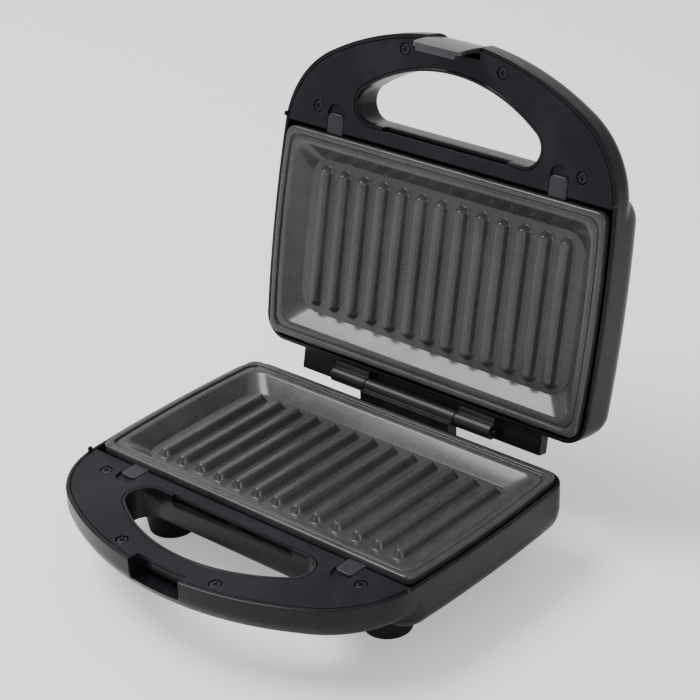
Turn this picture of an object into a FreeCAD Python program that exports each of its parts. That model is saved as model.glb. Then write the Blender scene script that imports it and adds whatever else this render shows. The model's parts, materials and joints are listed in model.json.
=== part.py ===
"""Panini press: two D-shaped clamshell halves hinged at the back, each with a hand slot, a removable
ribbed grill plate over a heated tray, and release buttons; a clip on the lid's front latches the base.

Rest pose: lid open. Millimetres, +Z up, +Y towards the hinge, z = 0 on the surface under the feet.
Base pieces are drawn where they lie. Lid pieces are drawn in the same half frame as the base, turned
half a turn about Y so that the halves face each other, and then swung open about the hinge.
"""
import FreeCAD
import Part
import Sketcher
import math
import os

from FreeCAD import Placement, Rotation, Vector

SIZES = {
    # where the halves are
    "rim_height": 54.0,          # plate rims above the surface that the feet stand on
    "plate_y": -2.274,            # centre of the lower plate from the footprint's centre
    "closed_gap": 1.0,           # between the two plate rims with the lid closed
    "open_angle": 102.0,         # lid against its stop
    "hinge_y": 78.0,             # hinge axis behind the plate's centre
    "hinge_up": 2.0,             # hinge axis above the lower rim
    # casing outline and depth, below the rim plane
    "case_half": 122.0,
    "case_side_r": 1000.0,
    "case_front": -138.0,
    "case_back": 70.0,
    "case_corner_r": 60.0,
    "case_back_r": 15.5,
    "side_end": -66.0,           # where the side meets the front corner's arc
    "case_top": 3.0,
    "case_depth": 34.0,
    "body_front": -73.0,
    "body_round": 14.5,
    "handle_depth": 23.0,
    "handle_round": 11.0,
    "wall": 2.5,
    # small upright ears on the casing's lip beside the plate's front corners
    "ear_x": 119.3,
    "ear_thick": 1.5,
    "ear_front": -72.0,
    "ear_back": -69.2,
    "ear_top": 0.8,
    # hand slot
    "slot_back": -77.5,
    "slot_front": -117.5,
    "slot_corner_x": 55.0,
    "slot_corner_r": 11.0,
    # handle cover
    "cover_thick": 2.5,
    "cover_play": 0.4,
    "cover_back": -67.5,
    "cover_notch": -129.5,
    "slot_rim": 1.9,
    "slot_rim_play": 0.35,
    "slot_gap_half": 45.0,
    "slot_gap_down": 7.5,
    # grill plate
    "plate_half": 117.5,
    "plate_half_depth": 65.0,
    "plate_side_r": 812.0,
    "plate_corner_r": 6.0,
    "plate_skin": 1.8,
    "flange_depth": 5.2,
    "rim_flat": 3.5,
    "groove_wide": 1.0,
    "groove_deep": 1.5,
    "band_wide": 3.5,
    "band_drop": 0.9,
    "pan_run": 9.0,
    "pan_depth": 9.5,
    "rib_count": 13,
    "rib_pitch": 14.67,
    "rib_base": 9.2,
    "rib_crest": 4.4,
    "rib_height": 4.6,
    "rib_half_length": 44.0,
    "tab_x": 82.0,
    "tab_wide": 14.0,
    "tab_out": 2.1,
    "tab_thick": 1.6,
    # heat tray under the plate
    "tray_half": 108.0,
    "tray_half_depth": 59.5,
    "tray_corner_r": 10.0,
    "tray_top": 7.0,
    "tray_depth": 27.0,
    "tray_skin": 0.8,
    "tray_flange": 3.5,
    "post_x": 80.0,
    "post_y": 30.0,
    "post_r": 4.0,
    # heating element
    "element_r": 3.2,
    "element_down": 18.2,
    "element_x": 86.0,
    "element_y": 44.0,
    "element_bend": 14.0,
    "element_end": 24.0,
    "end_cap_r": 4.4,
    "end_cap_length": 11.0,
    "support_x": 52.0,
    "support_wide": 14.0,
    # screws
    "screw_outer_x": 95.0,
    "screw_outer_y": -80.0,
    "screw_inner_x": 34.7,
    "screw_inner_y": -125.5,
    "screw_head_r": 3.1,
    "screw_head_thick": 1.3,
    "screw_shank_r": 1.4,
    "screw_length": 9.0,
    "screw_sink": 1.6,
    "screw_hole_r": 1.5,
    "sink_r": 3.7,
    "cross_long": 3.6,
    "cross_wide": 0.9,
    # feet
    "foot_x": 82.0,
    "foot_front_y": -45.0,
    "foot_back_y": 50.0,
    "foot_top_r": 17.0,
    "foot_low_r": 14.0,
    "foot_peg_r": 4.0,
    "foot_peg": 2.0,
    # hinge
    "barrel_r": 4.6,
    "barrel_end": 60.0,
    "barrel_split": 33.5,
    "barrel_play": 0.6,
    "pin_r": 1.75,
    "bore_r": 1.80,
    "pin_over": 1.5,
    "arm_deep": 13.0,
    "hinge_cover_half": 90.0,
    "hinge_cover_back": 84.0,
    # latch clip on the lid's front
    "latch_half": 17.0,
    "latch_notch_half": 18.0,
    "latch_thick": 2.2,
    "latch_bow": 1.4,
    "latch_front": -134.7,
    "latch_pivot_y": -131.1,
    "latch_pivot_down": 13.0,
    "latch_barrel_r": 2.4,
    "latch_pin_r": 1.0,
    "latch_bore_r": 1.06,
    "latch_reach": 14.6,
    "latch_lip": 2.3,
    "latch_lip_thick": 2.2,
    "latch_tail": 18.0,
    "notch_face": -129.7,
    "catch_face": -126.7,
    "catch_down": 10.8,
    "notch_down": 14.8,
    "lid_notch_down": 19.0,
    "block_back": -123.7,
    # release buttons
    "button_x": 80.5,
    "button_half": 6.0,
    "button_corner_r": 3.0,
    "button_edge": 0.4,
    "button_back": -65.6,
    "button_front": -77.8,
    "button_proud": 0.3,
    "button_play": 0.4,
    "button_leg_half": 4.0,
    "button_leg_back": -71.0,
    "button_leg_front": -73.2,
    "button_leg_down": 13.0,
    "leg_slot_back": -70.6,
    "leg_slot_front": -76.9,
    "recess_deep": 1.6,
    "lug_back": -84.6,
    "lug_front": -86.6,
    "spring_r": 1.9,
    "spring_wire_r": 0.3,
    "spring_turns": 9,
    "spring_down": 9.8,
    # electrical parts
    "thermostat_r": 9.0,
    "thermostat_tall": 7.0,
    "fuse_r": 2.0,
    "fuse_length": 16.0,
    "block_x": -88.0,
    "block_y": -93.5,
    "block_wide": 9.0,
    "block_long": 24.0,
    "block_top": 8.0,
    "block_bottom": 18.0,
    "inlet_x": -75.0,
    "inlet_down": 20.0,
    "inlet_r": 6.0,
    "inlet_flange_r": 8.0,
    "inlet_bore_r": 3.6,
    "inlet_out": 3.0,
    "inlet_in": 6.5,
    "lens_x": 12.0,
    "lens_y": -50.0,
    "lens_r": 3.4,
    "lens_flange_r": 4.6,
    "lens_out": 0.5,
    "lamp_r": 1.2,
    "lamp_length": 12.0,
}

doc = FreeCAD.newDocument("panini_press")
sheet = doc.addObject("Spreadsheet::Sheet", "Sizes")
for row, (alias, size) in enumerate(SIZES.items(), start=1):
    sheet.set(f"A{row}", alias)
    sheet.set(f"B{row}", str(size))
    sheet.setAlias(f"B{row}", alias)
doc.recompute()


def size(alias):
    """One driving dimension, read back from the sheet."""
    return float(getattr(sheet, alias))


RIM = size("rim_height")
PLATE_Y = size("plate_y")
HINGE = Vector(0, PLATE_Y + size("hinge_y"), RIM + size("hinge_up"))

# A half's own frame has x = y = 0 at the plate's centre and z = 0 on the plate's rim plane.
BASE_PLACE = Placement(Vector(0, PLATE_Y, RIM), Rotation())
FACING = Placement(Vector(0, PLATE_Y, RIM + size("closed_gap")), Rotation(Vector(0, 1, 0), 180))
SWING = Placement(Vector(), Rotation(Vector(1, 0, 0), -size("open_angle")), HINGE)
LID_PLACE = SWING.multiply(FACING)


# ---------------------------------------------------------------- outlines in a half's own frame

def on_circle(centre, radius, degrees):
    return Vector(centre.x + radius * math.cos(math.radians(degrees)),
                  centre.y + radius * math.sin(math.radians(degrees)), 0)


def arc(centre, radius, start, end):
    """Arc from one angle to another, in degrees, whichever way round is given."""
    middle = on_circle(centre, radius, (start + end) / 2)
    return Part.Arc(on_circle(centre, radius, start), middle, on_circle(centre, radius, end)).toShape()


def joined(arcs):
    """Closed wire of arcs in order; straight lines fill the stretches between them."""
    edges = []
    for number, edge in enumerate(arcs):
        following = arcs[(number + 1) % len(arcs)]
        edges.append(edge)
        end, start = edge.lastVertex(True).Point, following.firstVertex(True).Point
        if end.distanceToPoint(start) > 1e-6:
            edges.append(Part.makeLine(end, start))
    return Part.Wire(Part.__sortEdges__(edges))


def bowed_rectangle(half, side_r, front, back, corner_r, inset=0.0):
    """Rectangle whose short sides are arcs of a large circle and whose corners are round."""
    side = Vector(half - side_r, 0, 0)

    def corner(edge_y):
        rise = math.copysign(abs(edge_y) - corner_r, edge_y)
        run = math.sqrt((side_r - corner_r) ** 2 - rise ** 2)
        return Vector(side.x + run, rise, 0), math.degrees(math.atan2(rise, run))

    rear, rear_angle = corner(back)
    fore, fore_angle = corner(front)
    radius = corner_r - inset
    left_side = Vector(-side.x, 0, 0)
    left_rear = Vector(-rear.x, rear.y, 0)
    left_fore = Vector(-fore.x, fore.y, 0)
    return joined([
        arc(side, side_r - inset, fore_angle, rear_angle),
        arc(rear, radius, rear_angle, 90),
        arc(left_rear, radius, 90, 180 - rear_angle),
        arc(left_side, side_r - inset, 180 - rear_angle, 180 - fore_angle),
        arc(left_fore, radius, 180 - fore_angle, 270),
        arc(fore, radius, -90, fore_angle),
    ])


def case_outline(inset=0.0):
    """D shape: bowed sides, large front corners and a wide front arc, all tangent."""
    half, side_r = size("case_half"), size("case_side_r")
    corner_r, back_r = size("case_corner_r"), size("case_back_r")
    side = Vector(half - side_r, 0, 0)
    fore_angle = math.degrees(math.asin(size("side_end") / side_r))
    corner = on_circle(side, side_r - corner_r, fore_angle)
    # The front arc's centre is on the Y axis, tangent to the corner's circle and the front line.
    depth = -size("case_front")
    front_y = (depth - corner_r) ** 2 - corner.x ** 2 - corner.y ** 2
    front_y /= -2 * (corner.y + depth - corner_r)
    front = Vector(0, front_y, 0)
    front_r = front_y + depth
    blend = math.degrees(math.atan2(corner.y - front_y, corner.x))
    rise = size("case_back") - back_r
    run = math.sqrt((side_r - back_r) ** 2 - rise ** 2)
    rear = Vector(side.x + run, rise, 0)
    rear_angle = math.degrees(math.atan2(rise, run))
    return joined([
        arc(side, side_r - inset, fore_angle, rear_angle),
        arc(rear, back_r - inset, rear_angle, 90),
        arc(Vector(-rear.x, rise, 0), back_r - inset, 90, 180 - rear_angle),
        arc(Vector(-side.x, 0, 0), side_r - inset, 180 - rear_angle, 180 - fore_angle),
        arc(Vector(-corner.x, corner.y, 0), corner_r - inset, 180 - fore_angle, 180 - blend),
        arc(front, front_r - inset, -180 - blend, blend),
        arc(corner, corner_r - inset, blend, fore_angle),
    ])


def slot_outline(outset=0.0):
    """Hand slot: straight back edge, round ends and a front arc tangent to them."""
    corner_r = size("slot_corner_r")
    corner = Vector(size("slot_corner_x"), size("slot_back") - corner_r, 0)
    depth = -size("slot_front")
    front_y = (depth - corner_r) ** 2 - corner.x ** 2 - corner.y ** 2
    front_y /= -2 * (corner.y + depth - corner_r)
    front = Vector(0, front_y, 0)
    blend = math.degrees(math.atan2(corner.y - front_y, corner.x))
    left = Vector(-corner.x, corner.y, 0)
    return joined([
        arc(corner, corner_r + outset, blend, 90),
        arc(left, corner_r + outset, 90, 180 - blend),
        arc(front, front_y + depth + outset, -180 - blend, blend),
    ])


def body_outline(inset=0.0):
    return bowed_rectangle(size("case_half"), size("case_side_r"), size("body_front"),
                           size("case_back"), size("case_back_r"), inset)


def plate_outline(inset=0.0):
    corner_r = size("plate_corner_r") + 0.4 * inset
    half, depth = size("plate_half") - inset, size("plate_half_depth") - inset
    return bowed_rectangle(half, size("plate_side_r"), -depth, depth, corner_r)


def tray_outline(inset=0.0):
    half, depth = size("tray_half"), size("tray_half_depth")
    return bowed_rectangle(half, size("case_side_r"), -depth, depth, size("tray_corner_r"), inset)


def slab(wire, top, bottom):
    """Solid of an outline between two depths below the rim plane."""
    face = Part.Face(wire)
    face.translate(Vector(0, 0, -bottom))
    return face.extrude(Vector(0, 0, bottom - top))


def frustum(upper, top, lower, bottom):
    """Solid lofted between two outlines at two depths below the rim plane."""
    high, low = upper.copy(), lower.copy()
    high.translate(Vector(0, 0, -top))
    low.translate(Vector(0, 0, -bottom))
    return Part.makeLoft([high, low], True, True)


def block(x0, x1, y0, y1, top, bottom):
    return Part.makeBox(x1 - x0, y1 - y0, bottom - top, Vector(x0, y0, -bottom))


def peg(x, y, radius, top, bottom):
    return Part.makeCylinder(radius, bottom - top, Vector(x, y, -bottom))


def rod_along_x(x0, x1, y, down, radius):
    return Part.makeCylinder(radius, x1 - x0, Vector(x0, y, -down), Vector(1, 0, 0))


def bottom_rounded(solid, radius):
    """Round every edge of the solid's lowest face."""
    low = solid.BoundBox.ZMin
    edges = [edge for edge in solid.Edges if edge.BoundBox.ZMax < low + 1e-4]
    return solid.makeFillet(radius, edges)


# ---------------------------------------------------------------- pieces as objects of the document

pieces = []


def place(piece, placement):
    piece.Placement = placement
    pieces.append(piece)
    return piece


def shaped(label, shape, placement):
    """Sub-part whose shape is worked out above from the sheet's sizes."""
    piece = doc.addObject("Part::Feature", label)
    piece.Label = label
    piece.Shape = shape
    return place(piece, placement)


def origin_plane(body, role):
    return next(plane for plane in body.Origin.OriginFeatures if plane.Role == role)


def polygon_sketch(body, name, role, corners):
    """Closed sketch on an origin plane; each corner is a pair of expressions bound to the sheet."""
    sketch = body.newObject("Sketcher::SketchObject", name)
    sketch.AttachmentSupport = [(origin_plane(body, role), "")]
    sketch.MapMode = "FlatFace"
    values = [[float(sketch.evalExpression(text)) for text in corner] for corner in corners]
    for number, value in enumerate(values):
        following = values[(number + 1) % len(values)]
        sketch.addGeometry(Part.LineSegment(Vector(*value, 0), Vector(*following, 0)), False)
    for number in range(len(corners)):
        sketch.addConstraint(Sketcher.Constraint("Coincident", number, 2, (number + 1) % len(corners), 1))
    for number, (corner, value) in enumerate(zip(corners, values)):
        for kind, text, coordinate in zip(("DistanceX", "DistanceY"), corner, value):
            index = sketch.addConstraint(Sketcher.Constraint(kind, -1, 1, number, 1, coordinate))
            sketch.setExpression(f"Constraints[{index}]", text)
    return sketch


def turned(label, profile, placement):
    """Body of revolution: a profile of (radius, height) expressions about its own Z axis."""
    body = doc.addObject("PartDesign::Body", label)
    body.Label = label
    sketch = polygon_sketch(body, f"{label}_profile", "XZ_Plane", profile)
    turn = body.newObject("PartDesign::Revolution", f"{label}_turn")
    turn.Profile = sketch
    turn.ReferenceAxis = (sketch, ["V_Axis"])
    turn.Angle = 360
    return place(body, placement)


def round_bar(label, radius, length, placement):
    """Cylinder along X, centred on the YZ plane, with its radius and length bound to the sheet."""
    bar = doc.addObject("Part::Cylinder", label)
    bar.Label = label
    bar.setExpression("Radius", radius)
    bar.setExpression("Height", length)
    doc.recompute()
    along = Placement(Vector(-bar.Height.Value / 2, 0, 0), Rotation(Vector(0, 1, 0), 90))
    return place(bar, placement.multiply(along))


# ---------------------------------------------------------------- casing of one half

def filled_case(inset):
    """Casing filled solid: the D-shaped handle depth joined to the deeper body behind it."""
    top = size("case_top")
    handle = slab(case_outline(inset), top, size("handle_depth") - inset)
    body = slab(body_outline(inset), top, size("case_depth") - inset)
    return bottom_rounded(handle, size("handle_round") - inset).fuse(
        bottom_rounded(body, size("body_round") - inset))


def screw_spots():
    outer = (size("screw_outer_x"), size("screw_outer_y"))
    inner = (size("screw_inner_x"), size("screw_inner_y"))
    return [(side * x, y) for x, y in (outer, inner) for side in (-1, 1)]


def post_spots():
    return [(x * size("post_x"), y * size("post_y")) for x in (-1, 1) for y in (-1, 1)]


def case_shell():
    """Hollow casing with the hand slot's wall, screw bosses and posts for the heat tray."""
    outer = filled_case(0)
    hollow = filled_case(size("wall"))
    shell = outer.cut(hollow)
    sill = size("case_top") + size("cover_thick") + 0.3
    sleeve = slab(slot_outline(size("wall")), sill, size("handle_depth"))
    rim = slab(slot_outline(size("slot_rim")), size("case_top"), size("handle_depth"))
    extras = [sleeve, rim]
    for x, y in screw_spots():
        extras.append(peg(x, y, 3.6, sill, size("handle_depth") - 1))
    for x, y in post_spots():
        extras.append(peg(x, y, size("post_r"), size("tray_depth") + 0.1, size("case_depth") - 1))
    shell = shell.fuse([extra.common(outer) for extra in extras])
    shell = shell.cut(slab(slot_outline(), 0, size("case_depth") + 1))
    gap = size("slot_gap_half")
    shell = shell.cut(block(-gap, gap, size("slot_back") - 1, size("slot_back") + size("wall") + 1, 0,
                            size("slot_gap_down")))
    for side in (-1, 1):
        tab = block(size("ear_x") - size("ear_thick"), size("ear_x"), size("ear_front"), size("ear_back"),
                    size("ear_top"), size("case_top") + 2)
        shell = shell.fuse(tab if side > 0 else tab.mirror(Vector(), Vector(1, 0, 0)))
    for x, y in screw_spots():
        shell = shell.cut(peg(x, y, size("screw_hole_r"), 0, sill + size("screw_length")))
    for x, y in post_spots():
        shell = shell.cut(peg(x, y, size("screw_hole_r"), size("tray_depth"), size("case_depth") - 3))
    return shell.removeSplitter()


def latch_block():
    """Solid block behind the latch notch, inside the front wall."""
    half = size("latch_notch_half") + 2
    sill = size("case_top") + size("cover_thick") + 0.3
    rough = block(-half, half, size("case_front"), size("block_back"), sill, size("handle_depth"))
    return rough.common(filled_case(0))


def notch(catch):
    """Space cut in the front wall for the clip; the base's notch is undercut to make the catch."""
    half, front = size("latch_notch_half"), size("case_front") - 2
    if not catch:
        return block(-half, half, front, size("notch_face"), 0, size("lid_notch_down"))
    upper = block(-half, half, front, size("notch_face"), 0, size("notch_down"))
    return upper.fuse(block(-half, half, front, size("catch_face"), size("catch_down"), size("notch_down")))


def handle_cover():
    """Flat cover of the hand slot's surround, with screw holes, button slots and finger recesses."""
    top, thick = size("case_top"), size("cover_thick")
    bottom = top + thick
    cover = slab(case_outline(size("wall") + size("cover_play")), top, bottom)
    cover = cover.cut(block(-200, 200, size("cover_back"), 200, 0, bottom + 1))
    cover = cover.cut(slab(slot_outline(size("slot_rim") + size("slot_rim_play")), 0, bottom + 1))
    half = size("button_half") + size("button_play")
    leg_half = size("button_leg_half") + size("button_play")
    bed = top + size("recess_deep")
    for side in (-1, 1):
        x = side * size("button_x")
        recess = block(x - half, x + half, size("button_front"), 0, 0, bed).fuse(
            peg(x, size("button_front"), half, 0, bed))
        leg_slot = block(x - leg_half, x + leg_half, size("leg_slot_front"), size("leg_slot_back"), 0, bottom + 1)
        lug_half = size("button_leg_half")
        lug = block(x - lug_half, x + lug_half, size("lug_front"), size("lug_back"), bottom - 0.5,
                    size("button_leg_down"))
        cover = cover.cut(recess).cut(leg_slot).fuse(lug)
    for x, y in screw_spots():
        cover = cover.cut(peg(x, y, size("sink_r"), 0, top + size("screw_sink")))
        cover = cover.cut(peg(x, y, size("screw_hole_r"), 0, bottom + 1))
    half = size("latch_notch_half") + 0.3
    cover = cover.cut(block(-half, half, size("case_front") - 5, size("cover_notch"), 0, bottom + 1))
    return cover.removeSplitter()


def cable_hole():
    return Part.makeCylinder(size("inlet_r") + 0.05, 20,
                             Vector(size("inlet_x"), size("case_back") - 12, -size("inlet_down")),
                             Vector(0, 1, 0))


def base_shell():
    # The feet reach under the bottom's rounded edge, so each has a flat seat.
    seats = [peg(side * size("foot_x"), y, size("foot_top_r"), size("tray_depth") + 1, size("case_depth"))
             for side in (-1, 1) for y in (size("foot_front_y"), size("foot_back_y"))]
    shell = case_shell().fuse([latch_block()] + seats).cut(notch(catch=True))
    for x, y in post_spots():
        shell = shell.cut(peg(x, y, size("screw_hole_r"), size("tray_depth"), size("case_depth") - 3))
    shell = shell.cut(cable_hole())
    for y in (size("foot_front_y"), size("foot_back_y")):
        for side in (-1, 1):
            shell = shell.cut(peg(side * size("foot_x"), y, size("foot_peg_r"),
                                  size("case_depth") - size("foot_peg"), size("case_depth") + 1))
    return shell


def lid_shell():
    pivot_y, down = size("latch_pivot_y"), size("latch_pivot_down")
    reach = size("latch_notch_half") + 2
    shell = case_shell().fuse(latch_block()).cut(notch(catch=False))
    shell = shell.cut(block(-size("latch_notch_half"), size("latch_notch_half"), size("case_front") - 2,
                            size("block_back") - 2.5, down - 4, size("lid_notch_down") + 5))
    shell = shell.cut(rod_along_x(-reach, reach, pivot_y, down, size("latch_pin_r")))
    for side in (-1, 1):
        shell = shell.cut(peg(side * size("lens_x"), size("lens_y"), size("lens_r") + 0.05,
                              size("case_depth") - 4, size("case_depth") + 1))
    return shell


# ---------------------------------------------------------------- grill plate

def grill_plate():
    """Cast plate: stepped rim with a skirt, sloping walls and round-ended ribs on the floor."""
    skin, skirt = size("plate_skin"), size("flange_depth")
    rim, groove = size("rim_flat"), size("rim_flat") + size("groove_wide")
    band = groove + size("band_wide")
    floor = band + size("pan_run")
    drop, deep = size("band_drop"), size("pan_depth")
    plate = slab(plate_outline(), 0, skirt)
    plate = plate.cut(slab(plate_outline(skin), skin + 1.2, skirt + 1))
    plate = plate.fuse(frustum(plate_outline(band - 1.6), skin, plate_outline(floor - 1.4), deep + skin))
    plate = plate.cut(slab(plate_outline(rim), -1, drop))
    trench = slab(plate_outline(rim), 0, size("groove_deep")).cut(
        slab(plate_outline(groove), -1, size("groove_deep") + 1))
    plate = plate.cut(trench)
    plate = plate.cut(frustum(plate_outline(band), drop, plate_outline(floor), deep))
    plate = plate.cut(slab(plate_outline(band), -1, drop))
    plate = plate.fuse(rib_bars())
    back = size("plate_half_depth")
    for side in (-1, 1):
        x = side * size("tab_x")
        tab = block(x - size("tab_wide") / 2, x + size("tab_wide") / 2, back - 1, back + size("tab_out"),
                    skirt - size("tab_thick"), skirt)
        plate = plate.fuse(tab)
    return plate.removeSplitter()


def stadium(x, half_width, half_length):
    """Upright round-ended bar outline centred on one rib's line."""
    straight = half_length - half_width
    top, low = Vector(x, straight, 0), Vector(x, -straight, 0)
    return joined([arc(top, half_width, 0, 180), arc(low, half_width, 180, 360)])


def rib_bars():
    count, pitch = int(size("rib_count")), size("rib_pitch")
    base, crest = size("rib_base") / 2, size("rib_crest") / 2
    length, deep = size("rib_half_length"), size("pan_depth")
    bars = []
    for number in range(count):
        x = (number - (count - 1) / 2) * pitch
        low = stadium(x, base, length)
        high = stadium(x, crest, length - (base - crest))
        bars.append(frustum(high, deep - size("rib_height"), low, deep + 0.2))
    return bars


# ---------------------------------------------------------------- heat tray, element and its supports

def heat_tray():
    """Pressed pan with a flange, bolted to the casing's posts."""
    skin, top, bottom = size("tray_skin"), size("tray_top"), size("tray_depth")
    tray = slab(tray_outline(), top, bottom)
    tray = tray.fuse(slab(tray_outline(-size("tray_flange")), top, top + skin))
    tray = tray.cut(slab(tray_outline(skin), top - 1, bottom - skin))
    for x, y in post_spots():
        tray = tray.cut(peg(x, y, size("screw_hole_r"), bottom - 2, bottom + 1))
    return tray


def element_path():
    """Open loop of straight runs joined by quarter bends."""
    x, y, bend, end = size("element_x"), size("element_y"), size("element_bend"), size("element_end")
    right_back, right_front = Vector(x - bend, y - bend, 0), Vector(x - bend, bend - y, 0)
    left_back, left_front = Vector(bend - x, y - bend, 0), Vector(bend - x, bend - y, 0)
    edges = [Part.makeLine(Vector(end, y, 0), Vector(x - bend, y, 0)),
             arc(right_back, bend, 90, 0), Part.makeLine(Vector(x, y - bend, 0), Vector(x, bend - y, 0)),
             arc(right_front, bend, 0, -90), Part.makeLine(Vector(x - bend, -y, 0), Vector(bend - x, -y, 0)),
             arc(left_front, bend, 270, 180), Part.makeLine(Vector(-x, bend - y, 0), Vector(-x, y - bend, 0)),
             arc(left_back, bend, 180, 90), Part.makeLine(Vector(bend - x, y, 0), Vector(-end, y, 0))]
    path = Part.Wire(edges)
    path.translate(Vector(0, 0, -size("element_down")))
    return path


def heating_element():
    """Sheathed tube bent into a loop."""
    path = element_path()
    start = Vector(size("element_end"), size("element_y"), -size("element_down"))
    section = Part.Wire(Part.makeCircle(size("element_r"), start, Vector(1, 0, 0)))
    tube = path.makePipeShell([section], True, True)
    return tube


def element_end_caps():
    """Ceramic caps on the element's two cold ends."""
    end, length, radius = size("element_end"), size("end_cap_length"), size("end_cap_r")
    cap = rod_along_x(end - length, end, size("element_y"), size("element_down"), radius)
    return Part.makeCompound([cap, cap.mirror(Vector(), Vector(1, 0, 0))])


def element_supports():
    """Sheet brackets that hold the loop's front run and back run off the tray."""
    floor = size("tray_depth") - size("tray_skin")
    down, hole = size("element_down"), size("element_r") + 0.1
    brackets = []
    for x in (-size("support_x"), size("support_x")):
        for y in (-size("element_y"), size("element_y")):
            half = size("support_wide") / 2
            upright = block(x - 0.5, x + 0.5, y - half, y + half, down - 5.2, floor)
            foot = block(x - 0.5, x + 9, y - half, y + half, floor - 1, floor)
            web = upright.fuse(foot)
            brackets.append(web.cut(rod_along_x(x - 2, x + 2, y, down, hole)).removeSplitter())
    return Part.makeCompound(brackets)


# ---------------------------------------------------------------- screws

def screw(x, y, seat):
    """Pan-head cross-recess screw whose head stands on a seat at a depth below the rim plane."""
    head_top = seat - size("screw_head_thick")
    head = peg(x, y, size("screw_head_r"), head_top, seat)
    head = head.makeFillet(0.5, [edge for edge in head.Edges if edge.BoundBox.ZMin > -head_top - 1e-4])
    body = head.fuse(peg(x, y, size("screw_shank_r"), seat, seat + size("screw_length")))
    long, wide = size("cross_long") / 2, size("cross_wide") / 2
    depth = head_top + 0.9
    body = body.cut(block(x - long, x + long, y - wide, y + wide, 0, depth))
    return body.cut(block(x - wide, x + wide, y - long, y + long, 0, depth))


def cover_screws():
    seat = size("case_top") + size("screw_sink")
    return Part.makeCompound([screw(x, y, seat) for x, y in screw_spots()])


def tray_screws():
    seat = size("tray_depth") - size("tray_skin")
    long = size("screw_length")
    shortened = size("case_depth") - 3 - seat
    screws = [screw(x, y, seat) for x, y in post_spots()]
    below = block(-200, 200, -200, 200, seat + shortened, seat + long + 1)
    return Part.makeCompound([one.cut(below) for one in screws])


# ---------------------------------------------------------------- hinge

def barrel(x0, x1, down):
    """Hinge knuckle on an arm that stands on the casing's rear wall; down is the axis's depth."""
    y = size("hinge_y")
    arm = block(x0, x1, size("case_back") + 0.02, y, down, size("arm_deep"))
    knuckle = rod_along_x(x0, x1, y, down, size("barrel_r")).fuse(arm)
    return knuckle.cut(rod_along_x(x0 - 1, x1 + 1, y, down, size("bore_r"))).removeSplitter()


def base_hinge_barrel():
    split = size("barrel_split")
    return barrel(-split, split, -size("hinge_up"))


def lid_hinge_barrels():
    down = size("hinge_up") - size("closed_gap")
    knuckle = barrel(size("barrel_split") + size("barrel_play"), size("barrel_end"), down)
    reach, high = size("hinge_cover_half"), down + size("barrel_r") + size("barrel_play")
    roof = block(-reach, reach, size("case_back") + 0.02, size("hinge_cover_back"), high, size("arm_deep"))
    return knuckle.fuse([knuckle.mirror(Vector(), Vector(1, 0, 0)), roof]).removeSplitter()


# ---------------------------------------------------------------- latch clip

def latch_clip():
    """Clip on the lid: pivot barrel, bowed plate, inward lip at its tip and a tail above the pivot."""
    half, thick = size("latch_half"), size("latch_thick")
    front, bow = size("latch_front"), size("latch_bow")
    pivot_y, down = size("latch_pivot_y"), size("latch_pivot_down")
    tip, tail, lip = size("latch_reach"), size("latch_tail"), size("latch_lip")
    middle = (tip - tail) / 2

    def bowed(y):
        return Part.Arc(Vector(-half, y, -tail), Vector(-half, y - bow, middle), Vector(-half, y, tip)).toShape()

    outer, inner = bowed(front), bowed(front + thick)
    ends = [Part.makeLine(Vector(-half, front, height), Vector(-half, front + thick, height))
            for height in (-tail, tip)]
    plate = Part.Face(Part.Wire(Part.__sortEdges__([outer, inner] + ends))).extrude(Vector(2 * half, 0, 0))
    upright = [edge for edge in plate.Edges if edge.BoundBox.YLength > 0.9 * thick
               and edge.BoundBox.XLength < 1e-4 and edge.BoundBox.ZLength < 1e-4]
    plate = plate.makeFillet(3.0, upright)
    lip_top = size("latch_lip_thick") - tip
    lip_bar = block(3 - half, half - 3, front + 0.5, front + thick + lip, -tip, lip_top)
    web = block(-half, half, front, pivot_y, down - size("latch_barrel_r"), down + size("latch_barrel_r"))
    knuckle = rod_along_x(-half, half, pivot_y, down, size("latch_barrel_r"))
    clip = plate.fuse([lip_bar, web, knuckle])
    clip = clip.cut(rod_along_x(-half - 1, half + 1, pivot_y, down, size("latch_bore_r")))
    return clip.removeSplitter()


# ---------------------------------------------------------------- release buttons and their springs

def release_button(side):
    """Thin tab that slides in the cover's recess, with a leg below that its spring pushes on."""
    x, half = side * size("button_x"), size("button_half")
    top, bed = size("case_top") - size("button_proud"), size("case_top") + size("recess_deep") - 0.05
    tab = block(x - half, x + half, size("button_front"), size("button_back"), top, bed)
    front = size("button_front") + 1e-4
    tab = tab.makeFillet(size("button_corner_r"), [
        edge for edge in tab.Edges if edge.BoundBox.YMax < front and edge.BoundBox.ZLength > 1])
    tab = tab.makeChamfer(size("button_edge"), [
        edge for edge in tab.Edges if edge.BoundBox.YMin < front and edge.BoundBox.ZMin > -top - 1e-4])
    leg_half = size("button_leg_half")
    leg = block(x - leg_half, x + leg_half, size("button_leg_front"), size("button_leg_back"),
                bed - 0.5, size("button_leg_down"))
    return tab.fuse(leg).removeSplitter()


def release_spring(side):
    """Compression coil between the button's leg and the cover's lug."""
    start, end = size("lug_back") + size("spring_wire_r"), size("button_leg_front") - size("spring_wire_r")
    length = end - start
    radius, wire_r = size("spring_r"), size("spring_wire_r")
    helix = Part.makeHelix(length / size("spring_turns"), length, radius)
    section = Part.Wire(Part.makeCircle(wire_r, Vector(radius, 0, 0), Vector(0, 1, 0)))
    coil = Part.Wire(helix.Edges).makePipeShell([section], True, True)
    coil.rotate(Vector(), Vector(1, 0, 0), -90)
    coil.translate(Vector(side * size("button_x"), start, -size("spring_down")))
    return Part.makeCompound([coil])


# ---------------------------------------------------------------- electrical parts

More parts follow.
